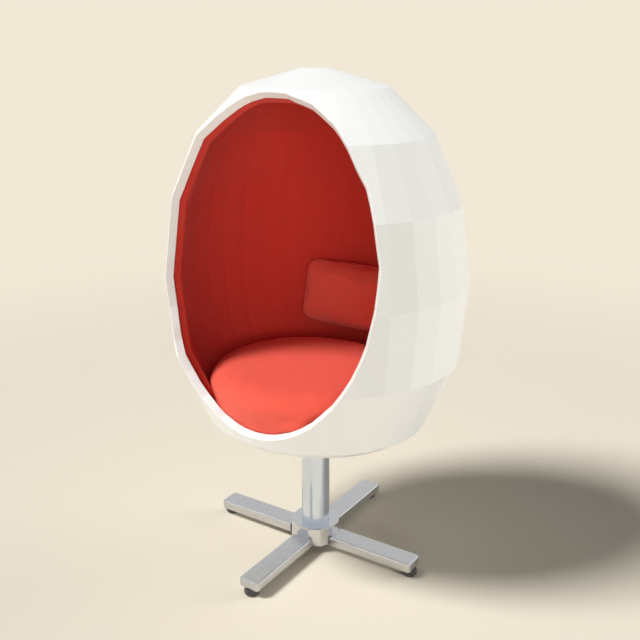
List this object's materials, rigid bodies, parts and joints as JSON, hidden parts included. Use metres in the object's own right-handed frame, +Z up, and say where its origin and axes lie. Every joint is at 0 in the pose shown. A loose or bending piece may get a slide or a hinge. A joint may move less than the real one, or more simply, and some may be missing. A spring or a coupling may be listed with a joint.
{
  "type": "pod chair",
  "caption": "Egg-shaped pod chair: faceted shell with an oval front opening, padded inside, swivelling on a column with a cross base.",
  "frame": {"origin": "middle of the chair's bounding box on the floor; the swivel axis stands 25.5 mm in front of it, at Y = -0.0255", "axes": "+Z up, the opening faces -Y, +X to the sitter's left"},
  "size_m": [0.82, 0.702, 1.331],
  "materials": {
    "shell_white": "satin gelcoat on a laminated shell",
    "lining_red": "red upholstery fabric over foam",
    "cushion_red": "red upholstery fabric over foam",
    "base_metal": "polished aluminium",
    "column_metal": "chromed steel tube",
    "dark_steel": "grey painted steel",
    "zinc_steel": "zinc plated steel",
    "black_rubber": "moulded black rubber",
    "bush_plastic": "natural acetal"
  },
  "bodies": {
    "base": {"base_hub": "base_metal", "base_arm_right": "base_metal", "base_arm_rear": "base_metal", "base_arm_left": "base_metal", "base_arm_front": "base_metal", "arm_bolt_right": "zinc_steel", "arm_bolt_rear": "zinc_steel", "arm_bolt_left": "zinc_steel", "arm_bolt_front": "zinc_steel", "glide_right": "black_rubber", "glide_rear": "black_rubber", "glide_left": "black_rubber", "glide_front": "black_rubber", "glide_stud_right": "zinc_steel", "glide_stud_rear": "zinc_steel", "glide_stud_left": "zinc_steel", "glide_stud_front": "zinc_steel", "hub_plate": "dark_steel", "column_tube": "column_metal", "column_foot_plug": "dark_steel", "column_bolt": "zinc_steel", "column_collar": "column_metal", "upper_bush": "bush_plastic", "lower_bush": "bush_plastic", "thrust_washer": "bush_plastic"},
    "pod": {"spindle": "dark_steel", "retaining_washer": "zinc_steel", "retaining_screw": "zinc_steel", "swivel_plate": "dark_steel", "clamp_plate": "zinc_steel", "plate_bolt_front_left": "zinc_steel", "plate_bolt_front_right": "zinc_steel", "plate_bolt_rear_right": "zinc_steel", "plate_bolt_rear_left": "zinc_steel", "shell": "shell_white", "lining": "lining_red", "seat_cushion": "cushion_red", "back_cushion": "cushion_red", "cushion_stud_left": "zinc_steel", "cushion_stud_right": "zinc_steel"}
  },
  "joints": [
    {"name": "pod_swivel", "type": "hinge", "parent": "base", "child": "pod", "pos_m": [0, -0.0255, 0.36], "axis": [0, 0, 1], "continuous": true}
  ]
}
